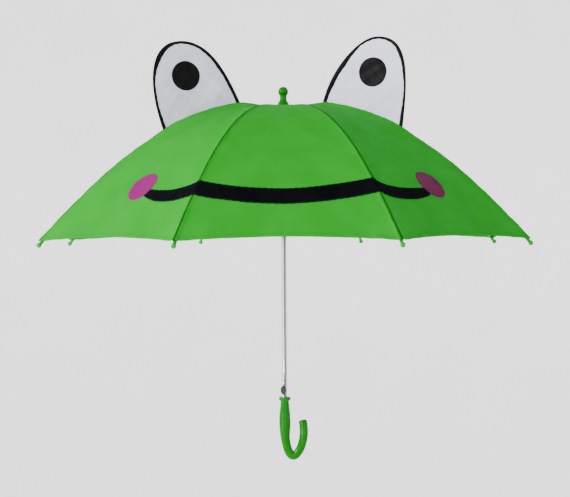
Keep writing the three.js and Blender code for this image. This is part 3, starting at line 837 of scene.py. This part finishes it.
# base is where the eye stands on its rib and apex its highest point; inner, outer and brow steer its
# outline. tape is the binding's half width, from the foot nearest the shaft (0) to the other foot (1).
EYES = (
    dict(
        side="left", rib=8, base=(71, 199.5), apex=(168, 562),
        inner=(20, 41), outer=(27, 73), brow=(49, 58), pupil=(164.6, 508.1),
        tape=(
            (0, 0.25, 0.45, 0.52, 0.59, 0.66, 0.74, 0.86, 1),
            (3.1, 3.0, 2.3, 2.5, 4.0, 3.7, 2.0, 2.0, 3.0),
        ),
    ),
    dict(
        side="right", rib=3, base=(65.5, 196), apex=(156, 569),
        inner=(15, 62), outer=(11, 88), brow=(26, 54), pupil=(150.4, 513.8),
        tape=(
            (0, 0.12, 0.24, 0.36, 0.5, 0.62, 0.72, 0.82, 0.92, 1),
            (3.0, 4.0, 4.2, 2.0, 2.2, 3.0, 2.4, 1.6, 2.6, 3.2),
        ),
    ),
)
PUPIL_R = 23.0
EYE_FOOT = 4.6
EYE_STEPS = 90
EYE_HALF = 0.45  # half the thickness of the eye's cloth
TAPE = {"thick": 1.35, "edge": 0.8, "fold": 1.0}


def eye_feet(eye):
    return [np.array(rib_curve(rib_distance(r), EYE_FOOT)[:2], float) for r in eye["base"]]


def eye_edge(eye):
    a, c = eye_feet(eye)
    apex = np.array(eye["apex"], float)
    rise = bezier(a, a + eye["inner"], apex - [eye["brow"][0], 0], apex, 60)
    fall = bezier(apex, apex + [eye["brow"][1], 0], c + eye["outer"], c, 60)
    return respace(np.concatenate([rise, fall[1:]]), EYE_STEPS)


def inset(points, distance):
    run = tangents(points)
    return points + np.stack([run[:, 1], -run[:, 0]], axis=1) * np.reshape(distance, (-1, 1))


def tape_width(eye):
    wide = np.interp(np.linspace(0, 1, EYE_STEPS), *eye["tape"])
    steps = np.arange(EYE_STEPS)
    return wide + 0.12 * np.sin(steps * 1.9) + 0.1 * np.sin(steps * 0.7)


def eye_wave(x, z, number):
    """How far the slack eye cloth stands off its plane."""
    slack = 1.2 * np.sin(x / 17 + number) * np.cos(z / 23 + 2 * number)
    slack = slack + 0.5 * np.sin((x + z) / 9.5 + number)
    slack = slack + 0.22 * np.sin((x - 1.6 * z) / 5.2 + 1.5 * np.sin(z / 19))
    return slack + 0.15 * np.sin((1.7 * x + z) / 4.4)


def eye_blend(obj):
    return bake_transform(obj)


def eye_panel(eye):
    edge = inset(eye_edge(eye), 0.9 * tape_width(eye))
    s = np.linspace(*(float(rib_distance(r)) for r in eye["base"]), EYE_STEPS)
    bx, bz, _ = rib_curve(s, CLOTH_TOP + 0.1)
    base = np.stack([bx, bz], axis=1)
    rows = 44
    t = np.linspace(0, 1, rows)[:, None, None]
    flat = base[None] + t * (edge - base)[None]
    x, z = flat[..., 0], flat[..., 1]
    rim = np.sqrt(((flat[:, :, None, :] - edge[None, None, ::3]) ** 2).sum(axis=-1)).min(axis=2)
    wave = eye_wave(x, z, eye["rib"]) * np.minimum(t[..., 0] * 6, 1) * np.clip((rim - 3) / 16, 0, 1)
    front = np.stack([x, wave - EYE_HALF, z], axis=-1)
    back = np.stack([x, wave + EYE_HALF, z], axis=-1)
    count = rows * EYE_STEPS
    faces = grid_faces(rows, EYE_STEPS, flip=True) + grid_faces(rows, EYE_STEPS, offset=count)
    faces += rim_faces(rows, EYE_STEPS)
    points = np.concatenate([front.reshape(-1, 3), back.reshape(-1, 3)])
    uv = points[:, [0, 2]]
    placed = to_row(points, eye["rib"])
    uvs = [("cloth", uv), ("hem", uv)]
    obj = make_object(f"eye_cloth_{eye['side']}", placed, faces, white_cloth, uvs)
    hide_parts(f"eye_panel_{eye['side']}")
    return eye_blend(obj)


def eye_binding(eye):
    """Black tape folded over the hoop of wire: flat, a little puckered, and down to the canopy."""
    line = inset(eye_edge(eye), tape_width(eye))
    run = tangents(line)
    normal = np.stack([-run[:, 1], run[:, 0]], axis=1)
    centres = np.stack([line[:, 0], np.zeros(len(line)), line[:, 1]], axis=1)
    normals = np.stack([normal[:, 0], np.zeros(len(line)), normal[:, 1]], axis=1)
    sides = np.tile([0.0, 1.0, 0.0], (len(line), 1))
    section = []
    low, fold = TAPE["edge"], TAPE["fold"]
    for i, wide in enumerate(tape_width(eye)):
        thick = TAPE["thick"] + 0.08 * math.sin(i * 2.3)
        section.append([
            (-wide, -low), (-wide, low), (-0.5 * wide, fold), (0, thick), (0.55 * wide, thick),
            (0.9 * wide, low), (wide, 0), (0.9 * wide, -low), (0.55 * wide, -thick), (0, -thick),
            (-0.5 * wide, -fold),
        ])
    obj = sweep(f"eye_tape_{eye['side']}", centres, normals, sides, section, binding_tape)
    obj.data.transform(Matrix.Rotation(rib_turn(eye["rib"]), 4, "Z"))
    uv = obj.data.uv_layers.new(name="cloth")
    hem = obj.data.uv_layers.new(name="hem")
    count = len(section[0])
    for loop in obj.data.loops:
        i, j = divmod(loop.vertex_index, count)
        uv.data[loop.index].uv = hem.data[loop.index].uv = (j * 0.001, i * 0.004)
    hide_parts(f"eye_binding_{eye['side']}")
    return eye_blend(obj)


def pupil(eye, face):
    """A round of black cloth on one face of the eye: face is -1 in front and 1 behind."""
    rings, sides = 14, 72
    px, pz = eye["pupil"]
    points, uv, hem = [], [], []
    for i in range(rings + 1):
        r = PUPIL_R * (i / rings) ** 0.8
        for j in range(sides):
            a = 2 * PI * j / sides
            x, z = px + r * math.cos(a), pz + r * math.sin(a)
            lift = 0.12 + 0.35 * min((PUPIL_R - r) / 0.8, 1)
            lift += 0.1 * math.exp((r - PUPIL_R) / 2.5) * math.sin(15 * a)
            points.append([x, eye_wave(x, z, eye["rib"]) + face * (0.5 + lift), z])
            uv.append([r * math.cos(a), r * math.sin(a)])
            hem.append([a * PUPIL_R, PUPIL_R - r])
    faces = grid_faces(rings + 1, sides, around=True, flip=face > 0)
    name = f"pupil_{eye['side']}_{'front' if face < 0 else 'back'}"
    placed = to_row(points, eye["rib"])
    obj = make_object(name, placed, faces, pupil_cloth, [("cloth", uv), ("hem", hem)])
    return eye_blend(obj)


for eye in EYES:
    cloth = eye_panel(eye)
    pieces = [eye_binding(eye), pupil(eye, -1), pupil(eye, 1)]

# ------------------------------------ shaft, ferrule, tips, handle


def shaft_tube():
    """The plated tube, with the three slots through its wall that the catches and the button work in."""
    sides = 64
    turn = CATCH_TURN + np.linspace(0, 2 * PI, sides, endpoint=False)
    slot_ends = [v for low, high, _ in SHAFT_SLOTS for v in (low, high)]
    z = np.unique(np.concatenate([np.linspace(*SHAFT_ENDS, 60), slot_ends]))
    points = [[SHAFT_R * math.cos(a), SHAFT_R * math.sin(a), h] for h in z for a in turn]
    faces = []
    for i in range(len(z) - 1):
        mid = (z[i] + z[i + 1]) / 2
        for j in range(sides):
            near = min(j + 0.5, sides - j - 0.5)
            if any(low < mid < high and near < wide for low, high, wide in SHAFT_SLOTS):
                continue
            k = (j + 1) % sides
            faces.append([i * sides + j, i * sides + k, (i + 1) * sides + k, (i + 1) * sides + j])
    obj = make_object("shaft_tube", points, faces, chrome)
    wall = obj.modifiers.new("wall", "SOLIDIFY")
    wall.thickness = SHAFT_WALL * MM
    wall.offset = -1
    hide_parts("shaft")
    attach(obj, "frame")


FERRULE_BELL = (
    (4.2, 463.6), (9.4, 463.6), (10.1, 463.9), (10.3, 464.6), (10.1, 466.0), (9.7, 467.6), (9.3, 469.6),
    (8.8, 471.2), (7.9, 472.6), (7.0, 473.8), (6.2, 475.2), (5.7, 476.6), (5.45, 478.2), (5.4, 480.4),
    (5.5, 483.4),
)
FERRULE_BALL = {"radius": 8.2, "z": 489.7, "neck": 0.735}


def ball_arc(ball, count):
    """(radius, z) pairs round a ball from its neck, an angle in radians, to its top."""
    r = ball["radius"]
    turns = np.linspace(PI - ball["neck"], 0.0, count)
    arc = [(r * math.sin(a), ball["z"] + r * math.cos(a)) for a in turns]
    return [*arc[:-1], (0, arc[-1][1])]


def ferrule():
    profile = [*FERRULE_BELL, *ball_arc(FERRULE_BALL, 22)]
    obj = lathe("ferrule_cap", profile, gloss_green, 64)
    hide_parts("ferrule")
    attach(obj, "frame")


TIP_SLEEVE = (
    (1.3, -11.6), (1.6, -12.4), (2.15, -12.5), (2.4, -12.1), (2.35, -9.0), (2.5, -6.2), (2.55, -4.6),
)
TIP_BALL = {"radius": 3.75, "z": 0, "neck": 0.72}
TIP_SHORT = 0.5  # how far the ball's middle lies before the rib's end


def tip(rib):
    """A moulded tip: a sleeve on the rib's end, a small shoulder and a ball."""
    x, z, angle = rib_curve(RIB_LENGTH - TIP_SHORT)
    profile = [*TIP_SLEEVE, *ball_arc(TIP_BALL, 16)]

    def place(p):
        out = np.array([math.cos(angle), 0, -math.sin(angle)])
        up = np.array([math.sin(angle), 0, math.cos(angle)])
        side = np.array([0, 1.0, 0])
        end = np.array([float(x), 0, float(z)])
        return to_row(end + p[:, 2:] * out + p[:, :1] * up + p[:, 1:2] * side, rib)

    obj = lathe(f"tip_{rib}", profile, tip_green, 28, place)
    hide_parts(f"rib_tip_{rib}")
    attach(obj, f"rib_{rib}")


HANDLE_SIDES = 48
# The crook's centre line: rings down the straight grip, then three curves in the plane of x and z.
GRIP_RINGS = (0.0, -0.35, -1.0, -1.7, -2.9, -4.2, -5.0, -5.6, -6.1, -6.7, -7.4, -8.4)
GRIP_LOWER = (-10, -53, -1.5)
CROOK_CURVES = (
    ((0, -54), (0, -74), (5.5, -95), (13.1, -95), 34),
    ((13.1, -95), (21, -95), (30.4, -76), (30.4, -56), 34),
    ((30.4, -56), (30.4, -50), (29.8, -45.6), (29.1, -40.9), 12),
)
# Radii at distances down the centre line: the collar, the neck, a ring, the grip, then the even crook.
HANDLE_RADII = (
    (0, 8.3), (0.35, 8.9), (1.0, 9.3), (1.7, 9.5), (4.2, 9.5), (5.0, 9.2), (5.6, 8.6), (6.1, 7.7),
    (6.7, 7.0), (7.6, 6.7), (12, 7.1), (17.4, 7.62), (17.8, 7.42), (18.4, 7.42), (18.8, 7.75), (28, 8.8),
    (39, 9.25), (48, 9.0), (58, 8.2), (66, 7.45), (76, 7.1), (96, 6.9), (220, 6.9),
)
# The rounded end, as (distance beyond the centre line, radius), and the hole that the shaft goes in at.
HANDLE_END = (
    (0.9, 6.8), (1.8, 6.45), (2.6, 5.85), (3.2, 5.0), (3.65, 3.8), (3.9, 2.2), (3.95, 0.02),
)
HANDLE_MOUTH = ((4.25, -3.0), (4.25, -0.3), (4.6, 0.0))


def handle():
    """The crook: a grip with a waisted neck under its collar, drawn on into the hook."""
    straight = np.array([[0.0, z] for z in (*GRIP_RINGS, *np.arange(*GRIP_LOWER))])
    curves = [bezier(*curve) for curve in CROOK_CURVES]
    line = np.concatenate([straight, curves[0], *(curve[1:] for curve in curves[1:])])
    step = np.linalg.norm(np.diff(line, axis=0), axis=1)
    run = np.concatenate([[0], np.cumsum(step)])
    radius = np.interp(run, *zip(*HANDLE_RADII))
    direction = tangents(line)
    tip_point, tip_dir = line[-1], direction[-1]
    line = np.concatenate([line, [tip_point + tip_dir * d for d, _ in HANDLE_END]])
    radius = np.concatenate([radius, [r for _, r in HANDLE_END]])
    direction = np.concatenate([direction, [tip_dir] * len(HANDLE_END)])
    centres = [np.array([0, 0, z]) for _, z in HANDLE_MOUTH] + [np.array([p[0], 0, p[1]]) for p in line]
    radius = np.concatenate([[r for r, _ in HANDLE_MOUTH], radius])
    down = [np.array([0, -1.0])] * len(HANDLE_MOUTH) + list(direction)
    normals = [np.array([-d[1], 0, d[0]]) for d in down]
    sides = [np.array([0, 1.0, 0])] * len(centres)
    section = [circle(r, HANDLE_SIDES) for r in radius]
    obj = sweep("crook_handle", centres, normals, sides, section, gloss_green, closed_ends=False)
    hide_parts("handle")
    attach(obj, "frame")


shaft_tube()
ferrule()
handle()
for rib in range(1, RIBS + 1):
    tip(rib)

# ------------------------------------ CAD pieces that show as they are

CAD_LOOKS = {
    "crown_notch": white_nylon,
    "runner": white_nylon,
    "crown_hinge_wire": spring_steel,
    "runner_hinge_wire": spring_steel,
    "top_catch": spring_steel,
    "bottom_catch": spring_steel,
    "push_button": black_plastic,
    "eye_wire_left": spring_steel,
    "eye_wire_right": spring_steel,
}
for number in range(1, RIBS + 1):
    CAD_LOOKS[f"rib_{number}"] = rib_steel
    CAD_LOOKS[f"stretcher_{number}"] = rib_steel
for node, look in CAD_LOOKS.items():
    for material_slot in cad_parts[node].material_slots:
        material_slot.material = look

# ------------------------------------ floor, light and camera

CAMERA_DISTANCE = 2.06
VIEW_WIDTH = 0.9154  # of the picture at the shaft
CAMERA_TURN = math.radians(-0.95)
CAMERA_HEIGHT = math.radians(0.67)
CAMERA_ROLL = math.radians(0.30)
CAMERA_AIM = Vector((0.0016, 0, 0.2384))
STUDIO_GLOW = 0.55
WORLD_GLOW = 0.75
LIGHT_AIM = Vector((0, 0, 0.3))
SENSOR = 36
STAGE = {"floor": -1.75, "reach": 5.0, "bend": 2.0, "top": 6.0}


def stage_floor():
    """A wide pale floor, well below the umbrella, that curves up into a round backdrop."""
    low, reach, bend = STAGE["floor"], STAGE["reach"], STAGE["bend"]
    profile = [(0.0, low), (reach / 2, low), (reach, low)]
    for a in np.linspace(0.1, PI / 2, 12):
        profile.append((reach + bend * math.sin(a), low + bend - bend * math.cos(a)))
    profile.append((reach + bend, STAGE["top"]))
    lathe("floor", [(r / MM, z / MM) for r, z in profile], floor_look, 72)


def area_light(name, place, size, power, tall=1.0):
    """A white oval light aimed at the umbrella; tall is its height over its width."""
    data = bpy.data.lights.new(name, "AREA")
    data.shape = "ELLIPSE"
    data.size = size
    data.size_y = size * tall
    data.energy = power
    obj = bpy.data.objects.new(name, data)
    bpy.context.scene.collection.objects.link(obj)
    obj.location = place
    aim = LIGHT_AIM - Vector(place)
    obj.rotation_euler = aim.to_track_quat("-Z", "Y").to_euler()
    obj.visible_camera = False


floor = Look(
    "pale_floor", (0.9, 0.9, 0.9), 0.9, Emission_Color=(1, 1, 1, 1), Emission_Strength=STUDIO_GLOW
)
patches = floor.ranged(floor.noise(3, 2), 0.3, 0.7)
floor.colour(floor.mix(patches, (0.88, 0.88, 0.88), (0.92, 0.92, 0.92)))
floor_look = floor.finish()
stage_floor()

world = bpy.data.worlds.new("studio")
bpy.context.scene.world = world
world.use_nodes = True
world.node_tree.nodes["Background"].inputs["Color"].default_value = (1, 1, 1, 1)
world.node_tree.nodes["Background"].inputs["Strength"].default_value = WORLD_GLOW

area_light("key", (-2.7, -1.3, 1.4), 1.1, 168)
area_light("fill", (0.4, -2.9, 0.6), 1.6, 10)
area_light("strip", (-1.7, -1.5, -0.42), 0.36, 19, tall=1.6)

data = bpy.data.cameras.new("camera")
data.sensor_width = SENSOR
data.lens = SENSOR * CAMERA_DISTANCE / VIEW_WIDTH
camera = bpy.data.objects.new("camera", data)
bpy.context.scene.collection.objects.link(camera)
facing = (
    Matrix.Rotation(CAMERA_TURN, 4, "Z")
    @ Matrix.Rotation(PI / 2 - CAMERA_HEIGHT, 4, "X")
    @ Matrix.Rotation(-CAMERA_ROLL, 4, "Z")
)
camera.matrix_world = Matrix.Translation(CAMERA_AIM + facing.to_3x3().col[2] * CAMERA_DISTANCE) @ facing
bpy.context.scene.camera = camera
